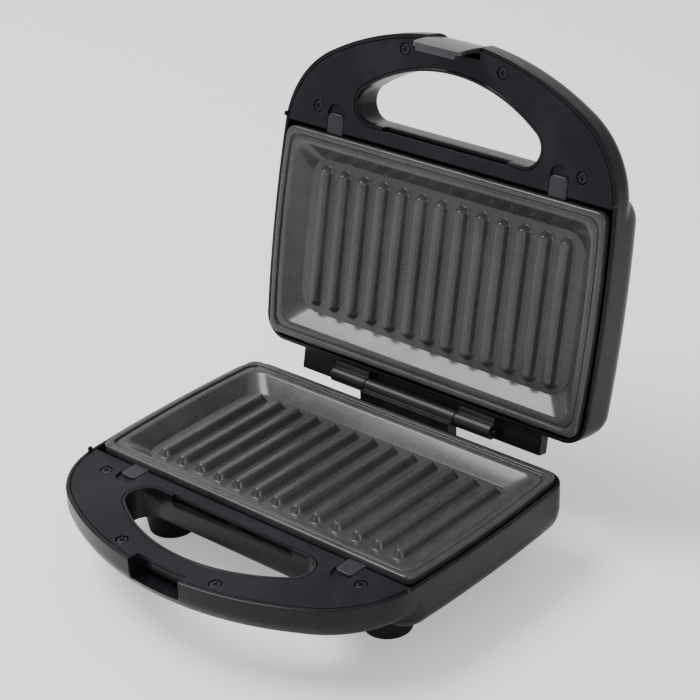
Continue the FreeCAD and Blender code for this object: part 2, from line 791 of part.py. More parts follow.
def thermal_fuse():
    """Axial fuse in its sleeve, lying on the tray beside the thermostat."""
    floor = size("tray_depth") - size("tray_skin")
    radius, length = size("fuse_r"), size("fuse_length")
    body = rod_along_x(18, 18 + length, 0, floor - radius - 0.05, radius)
    lead = rod_along_x(14, 22 + length, 0, floor - radius - 0.05, 0.5)
    return body.fuse(lead).removeSplitter()


def terminal_block():
    """Screw terminals on a foot in the handle's left end."""
    x, y, half = size("block_x"), size("block_y"), size("block_long") / 2
    wide, top, bottom = size("block_wide"), size("block_top"), size("block_bottom")
    floor = size("handle_depth") - size("wall") - 0.02
    body = block(x - half, x + half, y - wide / 2, y + wide / 2, top, bottom)
    for number in (-1, 0, 1):
        body = body.cut(peg(x + number * half * 2 / 3, y, 2.0, top - 1, bottom - 3))
    return body.fuse(block(x - 4, x + 4, y - 3, y + 3, bottom - 1, floor)).removeSplitter()


def cable_inlet():
    """Grommet in the rear wall, with a flange outside, that a mains lead comes in through."""
    x, down = size("inlet_x"), size("inlet_down")
    rear = size("case_back")
    along = Vector(0, 1, 0)
    start = rear - size("inlet_in")
    sleeve = Part.makeCylinder(size("inlet_r"), size("inlet_in") + size("inlet_out"),
                               Vector(x, start, -down), along)
    flange = Part.makeCylinder(size("inlet_flange_r"), size("inlet_out") - 1,
                               Vector(x, rear + 0.02, -down), along)
    bore = Part.makeCylinder(size("inlet_bore_r"), 40, Vector(x, rear - 20, -down), along)
    return sleeve.fuse(flange).cut(bore).removeSplitter()


def indicator_lens(side):
    """Clear cap flush with the lid's outer face, with a flange inside."""
    x, y = side * size("lens_x"), size("lens_y")
    outer, inner = size("case_depth"), size("case_depth") - size("wall")
    cap = peg(x, y, size("lens_r"), inner - 0.5, outer + size("lens_out"))
    dome = [edge for edge in cap.Edges if edge.BoundBox.ZMax < -outer - size("lens_out") + 1e-4]
    cap = cap.makeFillet(0.45, dome)
    return cap.fuse(peg(x, y, size("lens_flange_r"), inner - 1.2, inner - 0.02)).removeSplitter()


def indicator_lamps():
    """Neon tubes lying behind the lenses."""
    down = size("tray_depth") + size("lamp_r") + 0.3
    half = size("lamp_length") / 2
    lamps = []
    for side in (-1, 1):
        x = side * size("lens_x")
        lamp = Part.makeCylinder(size("lamp_r"), 2 * half, Vector(x, size("lens_y") - half, -down),
                                 Vector(0, 1, 0))
        lamps.append(lamp)
    return Part.makeCompound(lamps)


# ---------------------------------------------------------------- the object

for half_name, placement in (("base", BASE_PLACE), ("lid", LID_PLACE)):
    shaped(f"{half_name}_cover", handle_cover(), placement)
    shaped(f"{half_name}_heat_tray", heat_tray(), placement)
    shaped(f"{half_name}_heating_element", heating_element(), placement)
    shaped(f"{half_name}_element_end_caps", element_end_caps(), placement)
    shaped(f"{half_name}_element_supports", element_supports(), placement)
    shaped(f"{half_name}_cover_screws", cover_screws(), placement)
    shaped(f"{half_name}_tray_screws", tray_screws(), placement)
    for side_name, side in (("left", -1), ("right", 1)):
        # Turned to face the base, the lid's left and right change over.
        hand = side if half_name == "base" else -side
        shaped(f"{half_name}_{side_name}_release_button", release_button(hand), placement)
        shaped(f"{half_name}_{side_name}_release_spring", release_spring(hand), placement)

shaped("base_shell", base_shell(), BASE_PLACE)
shaped("lid_shell", lid_shell(), LID_PLACE)
shaped("lower_grill_plate", grill_plate(), BASE_PLACE)
shaped("upper_grill_plate", grill_plate(), LID_PLACE)
shaped("base_hinge_barrel", base_hinge_barrel(), BASE_PLACE)
shaped("lid_hinge_barrels", lid_hinge_barrels(), LID_PLACE)
shaped("latch_clip", latch_clip(), LID_PLACE)
shaped("thermal_fuse", thermal_fuse(), BASE_PLACE)
shaped("terminal_block", terminal_block(), BASE_PLACE)
shaped("cable_inlet", cable_inlet(), BASE_PLACE)
shaped("indicator_lamps", indicator_lamps(), LID_PLACE)
# Turned to face the base, the lid's left and right change over.
shaped("power_lens", indicator_lens(1), LID_PLACE)
shaped("ready_lens", indicator_lens(-1), LID_PLACE)

round_bar("hinge_pin", "Sizes.pin_r", "2 * (Sizes.barrel_end + Sizes.pin_over)",
          Placement(HINGE, Rotation()))
latch_axis = Vector(0, size("latch_pivot_y"), -size("latch_pivot_down"))
round_bar("latch_pin", "Sizes.latch_pin_r", "2 * (Sizes.latch_notch_half + 2)",
          LID_PLACE.multiply(Placement(latch_axis, Rotation())))

FOOT_PROFILE = [
    ("0", "0"),
    ("Sizes.foot_low_r - 1.5", "0"),
    ("Sizes.foot_low_r", "1.2"),
    ("Sizes.foot_top_r", "Sizes.rim_height - Sizes.case_depth - 0.02"),
    ("Sizes.foot_peg_r - 0.05", "Sizes.rim_height - Sizes.case_depth - 0.02"),
    ("Sizes.foot_peg_r - 0.05", "Sizes.rim_height - Sizes.case_depth + Sizes.foot_peg - 0.1"),
    ("0", "Sizes.rim_height - Sizes.case_depth + Sizes.foot_peg - 0.1"),
]
for row_name, foot_y in (("front", size("foot_front_y")), ("rear", size("foot_back_y"))):
    for side_name, side in (("left", -1), ("right", 1)):
        turned(f"{row_name}_{side_name}_foot", FOOT_PROFILE,
               Placement(Vector(side * size("foot_x"), PLATE_Y + foot_y, 0), Rotation()))

THERMOSTAT_PROFILE = [
    ("0", "0"),
    ("Sizes.thermostat_r", "0"),
    ("Sizes.thermostat_r", "0.6 * Sizes.thermostat_tall"),
    ("0.75 * Sizes.thermostat_r", "0.6 * Sizes.thermostat_tall"),
    ("0.75 * Sizes.thermostat_r", "Sizes.thermostat_tall"),
    ("0", "Sizes.thermostat_tall"),
]
tray_floor = Placement(Vector(0, 0, size("tray_skin") - size("tray_depth")), Rotation())
turned("base_thermostat", THERMOSTAT_PROFILE, BASE_PLACE.multiply(tray_floor))
turned("lid_thermostat", THERMOSTAT_PROFILE, LID_PLACE.multiply(tray_floor))

doc.recompute()
for item in doc.Objects:
    if "Invalid" in item.State or "Error" in item.State:
        raise RuntimeError(f"{item.Name} failed: {item.State}")
for piece in pieces:
    if piece.Shape.isNull() or not piece.Shape.isValid() or not piece.Shape.Solids:
        raise RuntimeError(f"{piece.Label} has no valid solid")

os.makedirs("parts", exist_ok=True)
for piece in pieces:
    piece.Shape.exportStep(f"parts/{piece.Label}.step")
    print(f"{piece.Label:36s} {len(piece.Shape.Solids)} solid(s) {piece.Shape.Volume / 1000:8.2f} cm3")
box = Part.makeCompound([piece.Shape for piece in pieces]).BoundBox
print(f"x {box.XMin:.2f} {box.XMax:.2f}  y {box.YMin:.2f} {box.YMax:.2f}  z {box.ZMin:.2f} {box.ZMax:.2f}")
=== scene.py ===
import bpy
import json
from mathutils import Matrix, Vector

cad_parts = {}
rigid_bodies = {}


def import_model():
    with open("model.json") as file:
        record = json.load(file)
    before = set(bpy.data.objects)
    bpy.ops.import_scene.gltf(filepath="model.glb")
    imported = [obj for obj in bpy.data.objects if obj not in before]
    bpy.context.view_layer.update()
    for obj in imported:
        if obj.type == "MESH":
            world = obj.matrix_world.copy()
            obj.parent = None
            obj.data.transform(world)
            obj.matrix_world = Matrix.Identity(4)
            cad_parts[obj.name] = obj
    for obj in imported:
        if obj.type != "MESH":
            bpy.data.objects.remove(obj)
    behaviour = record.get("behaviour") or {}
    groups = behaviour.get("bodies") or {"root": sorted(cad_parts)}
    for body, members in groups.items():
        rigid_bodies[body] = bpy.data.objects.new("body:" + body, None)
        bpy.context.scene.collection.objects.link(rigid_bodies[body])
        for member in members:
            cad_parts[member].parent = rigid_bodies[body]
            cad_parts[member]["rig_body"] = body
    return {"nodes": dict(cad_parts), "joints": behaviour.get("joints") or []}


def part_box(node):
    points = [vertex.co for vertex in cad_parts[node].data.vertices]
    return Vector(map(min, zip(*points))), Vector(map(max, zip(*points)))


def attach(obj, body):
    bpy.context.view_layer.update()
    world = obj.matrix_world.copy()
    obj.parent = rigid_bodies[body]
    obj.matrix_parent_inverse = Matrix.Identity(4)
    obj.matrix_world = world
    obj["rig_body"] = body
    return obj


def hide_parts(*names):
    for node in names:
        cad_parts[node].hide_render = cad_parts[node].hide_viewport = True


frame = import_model()

"""Looks of a panini press: casing, handle covers, grill plates, latch, hinge, feet and studio.

A half's own frame is in millimetres, x = y = 0 at its plate's centre and z = 0 on the plate's rim
plane, with the casing below it. The base half lies in it; the lid half is turned to face the base
and swung open about the hinge. Every surface is worked out there and then moved to its place.
"""
import json
import math

import bmesh
import bpy
import numpy as np
from bpy.props import FloatProperty, FloatVectorProperty, IntProperty, PointerProperty
from mathutils import Matrix, Vector

bl_info = {
    "name": "Panini press",
    "version": (1, 0, 0),
    "blender": (4, 5, 0),
    "location": "3D Viewport > Sidebar > Press",
    "description": "Builds the looks of a contact grill around its fixed frame",
    "category": "Object",
}

MM = 0.001
HINGE_JOINT = next(joint for joint in frame["joints"] if joint["name"] == "lid_hinge")
HINGE = np.array(HINGE_JOINT["pos_m"]) / MM
OPEN = math.radians(HINGE_JOINT["range_deg"][1])
PLATE_LOW, PLATE_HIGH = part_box("lower_grill_plate")
PLATE_HALF_DEPTH = 65.0
RIM = PLATE_HIGH.z / MM
PLATE_Y = PLATE_LOW.y / MM + PLATE_HALF_DEPTH
CLOSED_GAP = 1.0
HALVES = ("base", "lid")

# outline of a half, mm: long side arcs, tight corners and a bowed front
CASE_SIDE_R, CASE_SIDE_X, CASE_SIDE_START = 1000.0, -878.0, -66.0
CASE_FRONT, CASE_BACK = 138.0, 70.0
CASE_CORNER, BODY_CORNER = 60.0, 15.5
HAND_SLOT_FRONT, HAND_SLOT_BACK = 117.5, -77.5
HAND_SLOT_CORNER, HAND_SLOT_CORNER_X = 11.0, 55.0
PLATE_HALF_WIDTH, PLATE_SIDE_R, PLATE_CORNER = 117.5, 812.0, 6.0
PLATE_FLOOR, PLATE_UNDERSIDE = 9.5, 11.3


# ------------------------------------------------------------------ frames and meshes

def placed(points, half):
    """Half-frame points in mm, as row-frame points in metres.

    base: (x, y + Y, z + R). lid: (-x, y + Y, R + gap - z), turned by -open about the hinge's X axis.
    """
    x, y, z = np.moveaxis(np.asarray(points, float), -1, 0)
    if half == "base":
        return np.stack([x, y + PLATE_Y, z + RIM], -1) * MM
    dy, dz = y + PLATE_Y - HINGE[1], RIM + CLOSED_GAP - z - HINGE[2]
    c, s = math.cos(-OPEN), math.sin(-OPEN)
    return np.stack([-x, HINGE[1] + dy * c - dz * s, HINGE[2] + dy * s + dz * c], -1) * MM


def grid_faces(rows, columns, wrap_rows=False, wrap_columns=False):
    """Quads of a grid of points numbered row by row."""
    down = np.arange(rows if wrap_rows else rows - 1)[:, None]
    across = np.arange(columns if wrap_columns else columns - 1)[None, :]
    below, beside = (down + 1) % rows, (across + 1) % columns
    quads = [down * columns + across, down * columns + beside,
             below * columns + beside, below * columns + across]
    return np.stack(np.broadcast_arrays(*quads), -1).reshape(-1, 4)


def join_sheets(sheets):
    """Vertices and faces of several (points, faces) sheets, one after another."""
    starts = np.cumsum([0] + [len(points) for points, _ in sheets[:-1]])
    points = np.concatenate([points for points, _ in sheets])
    faces = np.concatenate([faces + start for (_, faces), start in zip(sheets, starts)])
    return points, faces


def finish_mesh(mesh, crease):
    """Outward normals, welded points and smooth shading up to a crease angle."""
    work = bmesh.new()
    work.from_mesh(mesh)
    bmesh.ops.remove_doubles(work, verts=work.verts, dist=2e-6)
    bmesh.ops.recalc_face_normals(work, faces=work.faces)
    work.to_mesh(mesh)
    work.free()
    mesh.shade_smooth()
    mesh.set_sharp_from_angle(angle=math.radians(crease))


def add_piece(name, mesh, node, crease=35.0):
    """Object of a mesh that stands for one CAD node, rides on its body and takes its slot's finish."""
    if node not in frame["nodes"]:
        raise RuntimeError(f"the frame has no node {node}")
    finish_mesh(mesh, crease)
    piece = bpy.data.objects.new(name, mesh)
    bpy.context.scene.collection.objects.link(piece)
    slot = SLOT_OF[node]
    mesh.materials.clear()
    mesh.materials.append(finish(slot))
    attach(piece, frame["nodes"][node]["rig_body"])
    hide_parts(node)
    return piece


def surface_piece(name, points, faces, node, crease=35.0):
    mesh = bpy.data.meshes.new(name)
    mesh.from_pydata(points.tolist(), [], faces.tolist())
    return add_piece(name, mesh, node, crease)


def softened_copy(name, node, edge, crease=35.0):
    """Merged copy of a CAD node with its edges bevelled; edge is the bevel's width in metres."""
    mesh = frame["nodes"][node].data.copy()
    mesh.name = name
    work = bmesh.new()
    work.from_mesh(mesh)
    bmesh.ops.remove_doubles(work, verts=work.verts, dist=2e-6)
    bmesh.ops.dissolve_limit(work, angle_limit=math.radians(1.0),
                             verts=work.verts, edges=work.edges)
    work.to_mesh(mesh)
    work.free()
    piece = add_piece(name, mesh, node, crease)
    bevel = piece.modifiers.new("soft_edges", "BEVEL")
    bevel.width = edge
    bevel.segments = 3
    bevel.limit_method = "ANGLE"
    bevel.angle_limit = math.radians(crease)
    bevel.use_clamp_overlap = True
    bevel.harden_normals = True
    return piece


# ------------------------------------------------------------------ outlines in a half's own frame

def arc_points(centre, radius, start, end, count):
    """Points and outward normals of an arc: c + r (cos a, sin a), a from start to end in radians."""
    angle = np.linspace(start, end, count)
    normal = np.stack([np.cos(angle), np.sin(angle)], -1)
    return np.asarray(centre) + radius * normal, normal


def joined_arcs(arcs):
    return tuple(np.concatenate(parts) for parts in zip(*arcs))


def mirrored(points, normals):
    """Outline's right half, from front middle to back middle, closed by its mirror image."""
    flip = np.array([-1.0, 1.0])
    return (np.concatenate([points, points[::-1] * flip]),
            np.concatenate([normals, normals[::-1] * flip]))


def line_points(start, end, normal, count):
    share = np.linspace(0, 1, count)[:, None]
    points = np.asarray(start) * (1 - share) + np.asarray(end) * share
    return points, np.broadcast_to(normal, points.shape)


def case_outline():
    """D outline: front arc, corner of 60, side of 1000, back corner of 15.5, all tangent."""
    side_x, corner_r, back_r = CASE_SIDE_X, CASE_CORNER, BODY_CORNER
    depth, back = CASE_FRONT, CASE_BACK
    fore = math.asin(CASE_SIDE_START / CASE_SIDE_R)
    reach = CASE_SIDE_R - corner_r
    cx, cy = side_x + reach * math.cos(fore), reach * math.sin(fore)
    front_y = ((depth - corner_r) ** 2 - cx ** 2 - cy ** 2) / (-2 * (cy + depth - corner_r))
    blend = math.atan2(cy - front_y, cx)
    rise = back - back_r
    run = math.sqrt((CASE_SIDE_R - back_r) ** 2 - rise ** 2)
    rear = math.atan2(rise, run)
    return mirrored(*joined_arcs([
        arc_points((0, front_y), front_y + depth, -math.pi / 2, blend, 400),
        arc_points((cx, cy), corner_r, blend, fore, 300),
        arc_points((side_x, 0), CASE_SIDE_R, fore, rear, 300),
        arc_points((side_x + run, rise), back_r, rear, math.pi / 2, 120),
        line_points((side_x + run, back), (0, back), (0, 1), 300),
    ]))


def slot_outline():
    """Hand slot: front arc, corners of radius 11 and a straight back edge."""
    corner_r, cx = HAND_SLOT_CORNER, HAND_SLOT_CORNER_X
    back, depth = HAND_SLOT_BACK, HAND_SLOT_FRONT
    cy = back - corner_r
    front_y = ((depth - corner_r) ** 2 - cx ** 2 - cy ** 2) / (-2 * (cy + depth - corner_r))
    blend = math.atan2(cy - front_y, cx)
    return mirrored(*joined_arcs([
        arc_points((0, front_y), front_y + depth, -math.pi / 2, blend, 300),
        arc_points((cx, cy), corner_r, blend, math.pi / 2, 200),
        line_points((cx, back), (0, back), (0, 1), 200),
    ]))


def plate_outline(inset, counts=(150, 14, 90)):
    """Bowed rectangle of the plate moved inwards: sides of 812, corners of 6 growing with the inset."""
    corner_r = PLATE_CORNER + 0.4 * inset
    half, depth, side_r = PLATE_HALF_WIDTH - inset, PLATE_HALF_DEPTH - inset, PLATE_SIDE_R
    rise = depth - corner_r
    run = math.sqrt((side_r - corner_r) ** 2 - rise ** 2)
    rear = math.atan2(rise, run)
    corner_x = half - side_r + run
    return mirrored(*joined_arcs([
        line_points((0, -depth), (corner_x, -depth), (0, -1), counts[0]),
        arc_points((corner_x, -rise), corner_r, -math.pi / 2, -rear, counts[1]),
        arc_points((half - side_r, 0), side_r, -rear, rear, counts[2]),
        arc_points((corner_x, rise), corner_r, rear, math.pi / 2, counts[1]),
        line_points((corner_x, depth), (0, depth), (0, 1), counts[0]),
    ]))


def at_bearing(outline, centre, bearing):
    """Points and normals where rays from centre at the given bearings meet a star-shaped outline."""
    points, normals = outline
    around = np.unwrap(np.arctan2(points[:, 1] - centre[1], points[:, 0] - centre[0]))
    found = [np.interp(bearing, around, column, period=2 * math.pi)
             for column in (*points.T, *normals.T)]
    normal = np.stack(found[2:], -1)
    return np.stack(found[:2], -1), normal / np.linalg.norm(normal, axis=-1, keepdims=True)


# ------------------------------------------------------------------ casing

SLOT_CENTRE = (0.0, -97.0)
LIP_TOP, SILL, WALL = 3.0, 5.8, 2.5
HANDLE_DEPTH, HANDLE_ROUND = 23.0, 11.0
BODY_DEPTH, BODY_ROUND, BODY_FRONT = 34.0, 14.5, -73.0
NOTCH_HALF, NOTCH_DOWN = 18.0, 14.8
SLOT_RIM = 1.9
GAP_HALF, GAP_DOWN = 45.0, 7.5
FOOT_X, FOOT_YS, SEAT_R = 82.0, (-45.0, 50.0), 17.0
SLOT_ROUND = 2.0
LIP_ROWS, SIDE_ROWS, EDGE_ROWS = 6, 8, 14
EAR_X, EAR_Y, EAR_HALF_THICK, EAR_HALF_LONG = 118.55, -70.6, 0.75, 1.4


def rounded_depth(inset, depth, radius):
    """Depth over a rounded edge: d - r + sqrt(r^2 - (r - q)^2), with the inset q from 0 to r."""
    inside = np.clip(inset, 0, radius)
    return depth - radius + np.sqrt(radius ** 2 - (radius - inside) ** 2)


def body_inset(x, y):
    """Distance inside the body's outline; negative in front of it."""
    side = CASE_SIDE_R - np.hypot(np.abs(x) - CASE_SIDE_X, y)
    front, back = y - BODY_FRONT, CASE_BACK - y
    near = np.minimum(side, front)
    a, b = BODY_CORNER - side, BODY_CORNER - front
    near = np.where((a > 0) & (b > 0), BODY_CORNER - np.hypot(a, b), near)
    a, b = BODY_CORNER - side, BODY_CORNER - back
    rear = np.where((a > 0) & (b > 0), BODY_CORNER - np.hypot(a, b), back)
    return np.minimum(near, rear)


def case_depth(x, y, edge_inset):
    """Depth of the casing's underside: the handle's height field, or the body's where it is deeper."""
    handle = rounded_depth(edge_inset, HANDLE_DEPTH, HANDLE_ROUND)
    inside = body_inset(x, y)
    body = rounded_depth(inside, BODY_DEPTH, BODY_ROUND)
    return np.where(inside > -0.3, np.maximum(handle, body), handle)


def seat_depth(x, y, depth):
    """Underside with the feet's flat seats let into it."""
    for foot_y in FOOT_YS:
        depth = np.where(np.hypot(np.abs(x) - FOOT_X, y - foot_y) < SEAT_R, BODY_DEPTH, depth)
    return depth


def bearings():
    """Bearings of the casing's columns, with a doubled column at each side of the latch notch."""
    found = []
    for outline, count in ((case_outline(), 520), (slot_outline(), 150)):
        points, _ = outline
        step = np.linalg.norm(np.diff(points, axis=0, append=points[:1]), axis=-1)
        run = np.concatenate([[0], np.cumsum(step)[:-1]])
        even = np.linspace(0, step.sum(), count, endpoint=False)
        around = np.unwrap(np.arctan2(points[:, 1] - SLOT_CENTRE[1], points[:, 0] - SLOT_CENTRE[0]))
        found.append(np.interp(even, run, around))
    front = math.atan2(NOTCH_HALF, CASE_FRONT + SLOT_CENTRE[1])
    gap = math.atan2(HAND_SLOT_BACK - SLOT_CENTRE[1], GAP_HALF)
    steps = np.array([-front, front, gap + math.pi / 2, 3 * math.pi / 2 - gap]) - math.pi / 2
    every = np.mod(np.concatenate(found) + math.pi, 2 * math.pi) - math.pi
    steps = np.mod(steps + math.pi, 2 * math.pi) - math.pi
    every = every[np.abs(every[:, None] - steps).min(1) > 3e-3]
    pair = np.concatenate([steps - 1e-4, steps + 1e-4])
    return np.unique(np.round(np.concatenate([every, pair]), 6))


def resampled(corners, count):
    """Points evenly numbered along a polyline of (inset, depth) corners, every corner kept."""
    corners = np.asarray(corners, float)
    place = np.round(np.linspace(0, count - 1, len(corners)))
    return np.stack([np.interp(np.arange(count), place, column) for column in corners.T], -1)


def casing_surface(half):
    """Closed surface on (bearing, profile): lip, side, rounded underside, hand slot's wall and inside.

    Along a bearing the underside is P = O + f (S - O), f from 0 at the outline O to 1 at the slot's
    outline S, at depth case_depth(P); the inside repeats it 2.5 mm further in.
    """
    bearing = bearings()
    outer, outer_normal = at_bearing(case_outline(), SLOT_CENTRE, bearing)
    slot, slot_normal = at_bearing(slot_outline(), SLOT_CENTRE, bearing)
    rows = []

    def row(points, depth):
        rows.append(np.concatenate([points, -np.broadcast_to(depth, len(points))[:, None]], -1))

    def inset_row(inset, depth):
        row(outer - inset * outer_normal, depth)

    edge = case_depth(*outer.T, 0.0)
    for inset, depth in ((WALL, 3.35), (2.3, 3.06), (1.9, LIP_TOP), (0.8, LIP_TOP),
                         (0.35, 3.1), (0.08, 3.36)):
        inset_row(inset, depth)
    for share in np.linspace(0, 1, SIDE_ROWS):
        inset_row(0.0, 3.8 + share * (edge - 3.8))
    reach = slot + SLOT_ROUND * slot_normal - outer
    length = np.linalg.norm(reach, axis=-1)
    facing = -(reach * outer_normal).sum(-1) / length
    turn = np.linspace(0, math.pi / 2, EDGE_ROWS + 1)[1:]
    rim_share = (1 - np.cos(turn))[:, None] * (BODY_ROUND / facing / length)
    far = np.linspace(0, 1, 46)[1:, None]
    share = np.concatenate([rim_share, rim_share[-1] + (1 - rim_share[-1]) * (1 - (1 - far) ** 1.35)])
    for f in share:
        points = outer + f[:, None] * reach
        depth = case_depth(*points.T, f * length * facing)
        row(points, seat_depth(*points.T, depth) if half == "base" else depth)
    low = case_depth(*(slot + SLOT_ROUND * slot_normal).T, 99.0)
    for angle in np.radians((22.5, 45, 67.5, 90)):
        row(slot + SLOT_ROUND * (1 - math.sin(angle)) * slot_normal,
            low - SLOT_ROUND * (1 - math.cos(angle)))
    notched = (np.abs(slot[:, 0]) < GAP_HALF) & (slot[:, 1] > -80)
    top = np.where(notched, GAP_DOWN, LIP_TOP)
    for share_up in (0.35, 0.7, 1.0):
        row(slot, (low - SLOT_ROUND) + share_up * (top + 0.3 - low + SLOT_ROUND))
    row(slot + 0.1 * slot_normal, top + 0.08)
    row(slot + 0.35 * slot_normal, top)
    row(slot + (SLOT_RIM - 0.3) * slot_normal, top)
    row(slot + SLOT_RIM * slot_normal, top + 0.25)
    row(slot + SLOT_RIM * slot_normal, np.maximum(top + 0.5, SILL))
    row(slot + WALL * slot_normal, np.maximum(top + 0.5, SILL))
    row(slot + WALL * slot_normal, low - WALL)
    inner = outer - WALL * outer_normal
    back_in = inner - slot - WALL * slot_normal
    for f in np.linspace(0, 1, 12)[1:]:
        points = slot + WALL * slot_normal + f * back_in
        gap = (1 - f) * np.linalg.norm(back_in, axis=-1) * facing + WALL
        row(points, case_depth(*points.T, gap) - WALL)
    inset_row(WALL, 8.0)
    surface = np.stack(rows)
    cut_notch(surface, outer, outer_normal, half)
    return surface


def cut_notch(surface, outer, outer_normal, half):
    """Sets the front wall back over the latch's width; the base's is undercut to make the catch."""
    columns = np.abs(outer[:, 0]) < NOTCH_HALF
    columns &= outer[:, 1] < -120
    if half == "base":
        corners = [(13, SILL), (8.3, SILL), (8.3, 10.8), (11.3, 10.8), (11.3, NOTCH_DOWN),
                   (0.5, NOTCH_DOWN), (1.3, 16.8), (2.8, 19.3), (5.2, 21.4), (8.2, 22.65),
                   (11, HANDLE_DEPTH), (14, HANDLE_DEPTH)]
    else:
        corners = [(13, SILL), (8.3, SILL), (8.3, 9), (11.8, 9), (11.8, 13), (11.8, 18),
                   (11.8, HANDLE_DEPTH), (12.5, HANDLE_DEPTH), (13, HANDLE_DEPTH),
                   (14, HANDLE_DEPTH)]
    front = LIP_ROWS + SIDE_ROWS + EDGE_ROWS
    profile = resampled(corners, front)
    points = outer[columns] - profile[:, 0, None, None] * outer_normal[columns]
    surface[:front, columns, :2] = points
    surface[:front, columns, 2] = -profile[:, 1, None]
    for number in (-1, -2):
        surface[number, columns, :2] = outer[columns] - 14.3 * outer_normal[columns]


def ear_sheets():
    """Two small upright ears on the lip by the plate's front corners: slabs |x'|^4 + |y'|^4 = 1."""
    angle = np.linspace(0, 2 * math.pi, 32, endpoint=False)
    rounding = (np.cos(angle) ** 4 + np.sin(angle) ** 4) ** -0.25
    sheets = []
    for side in (-1, 1):
        rows = [np.stack([side * EAR_X + EAR_HALF_THICK * s * rounding * np.cos(angle),
                          EAR_Y + EAR_HALF_LONG * s * rounding * np.sin(angle),
                          np.full(len(angle), -depth)], -1)
                for s, depth in ((0.01, 5.0), (1, 5.0), (1, 1.2), (0.85, 0.85), (0.01, 0.8))]
        rows = np.stack(rows)
        sheets.append((rows.reshape(-1, 3), grid_faces(*rows.shape[:2], wrap_columns=True)))
    return sheets


# ------------------------------------------------------------------ grill plate

FLOOR_HALF_WIDTH, FLOOR_HALF_DEPTH, FLOOR_MESH_HALF = 100.4, 48.6, 105.0
FLOOR_SIDE_BOW = 2.45
RIB_END_START, RIB_MIDDLE = 37.5, 36
RIB_ROUNDING = 0.09
TAB_X, TAB_Y, TAB_HALF_WIDE, TAB_HALF_DEEP = 82.0, 65.3, 7, 1.8


def soft_ramp(value, rounding):
    """Ramp from 0 to 1 with rounded ends: (sqrt(v^2 + e^2) - sqrt((v - 1)^2 + e^2) + 1) / 2."""
    return (np.sqrt(value ** 2 + rounding ** 2) - np.sqrt((value - 1) ** 2 + rounding ** 2) + 1) / 2


def plate_sheets(sizes):
    """The plate's rim as rings of offset outlines, and its floor as a height field of round-ended ribs.

    Floor height: h S((b - d) / (b - c)), d the distance to the nearest rib's line, b and c the half
    widths of a rib's foot and crest, S the soft ramp.
    """
    rings = [(15.6, PLATE_UNDERSIDE), (7.0, 2.4), (1.8, 2.4), (1.8, 5.2), (0.5, 5.2), (0.15, 5.0),
             (0.0, 4.6), (0.0, 1.0), (0.12, 0.55), (0.35, 0.22), (0.7, 0.05), (1.1, 0.0),
             (3.1, 0.0), (3.3, 0.05), (3.45, 0.2), (3.5, 0.4), (3.5, 1.35), (3.65, 1.5),
             (4.3, 1.5), (4.5, 1.4), (4.55, 1.12), (4.7, 0.95), (4.9, 0.9), (7.5, 0.9),
             (7.8, 0.97), (8.1, 1.15)]
    wall = np.linspace(0.03, 1.0, 14)
    rings += [(8.0 + 9.0 * u, 0.9 + 8.6 * u - 0.25 * math.sin(math.pi * u)) for u in wall]
    rings += [(17.7, 10.1)]
    ring_points = []
    for inset, depth in rings:
        points, _ = plate_outline(inset)
        ring_points.append(np.concatenate([points, np.full((len(points), 1), -depth)], -1))
    ring_points = np.stack(ring_points)
    count, pitch = sizes.rib_count, sizes.rib_pitch / MM
    foot, crest, height = sizes.rib_foot / MM / 2, sizes.rib_crest / MM / 2, sizes.rib_height / MM
    across = np.linspace(-1, 1, 20 * count + 61)
    along = np.concatenate([np.linspace(-FLOOR_HALF_DEPTH, -RIB_END_START, 34),
                            np.linspace(-RIB_MIDDLE, RIB_MIDDLE, 13),
                            np.linspace(RIB_END_START, FLOOR_HALF_DEPTH, 34)])
    y, x = np.meshgrid(along, across * FLOOR_MESH_HALF, indexing="ij")
    side = 1.0 - FLOOR_SIDE_BOW * (y / PLATE_HALF_DEPTH) ** 2 / FLOOR_MESH_HALF
    x = x * np.minimum(side, 1.0) * (FLOOR_HALF_WIDTH / FLOOR_MESH_HALF)
    nearest = np.clip(np.round(x / pitch + (count - 1) / 2), 0, count - 1) - (count - 1) / 2
    over = np.maximum(np.abs(y) - (sizes.rib_length / MM / 2 - foot), 0)
    distance = np.hypot(x - nearest * pitch, over)
    rise = height * soft_ramp((foot - distance) / (foot - crest), RIB_ROUNDING)
    grain = 0.012 * np.sin(x * 3.1 + 2 * np.sin(y * 0.7)) * np.sin(y * 2.3)
    floor = np.stack([x, y, -PLATE_FLOOR + rise + grain], -1)
    under = np.stack([x * 1.01, y * 1.01, np.full_like(x, -PLATE_UNDERSIDE)], -1)[::8, ::10]
    return [(ring_points.reshape(-1, 3), grid_faces(*ring_points.shape[:2], wrap_columns=True)),
            (floor.reshape(-1, 3), grid_faces(*floor.shape[:2])),
            (under.reshape(-1, 3), grid_faces(*under.shape[:2]))]


def plate_tabs():
    """Two locating tabs behind the plate, each a rounded slab: |x'|^6 + |y'|^6 = 1 between two depths."""
    angle = np.linspace(0, 2 * math.pi, 48, endpoint=False)
    rounding = np.abs(np.cos(angle)) ** 6 + np.abs(np.sin(angle)) ** 6
    outline = np.stack([np.cos(angle), np.sin(angle)], -1) / rounding[:, None] ** (1 / 6)
    sheets = []
    for x in (-TAB_X, TAB_X):
        rows = [np.stack([x + TAB_HALF_WIDE * s * outline[:, 0],
                          TAB_Y + TAB_HALF_DEEP * s * outline[:, 1],
                          np.full(len(angle), -depth)], -1)
                for s, depth in ((0.01, 5.2), (0.9, 5.2), (1, 5.05), (1, 3.8), (0.9, 3.6), (0.01, 3.6))]
        rows = np.stack(rows)
        sheets.append((rows.reshape(-1, 3), grid_faces(*rows.shape[:2], wrap_columns=True)))
    return sheets


# ------------------------------------------------------------------ turned pieces

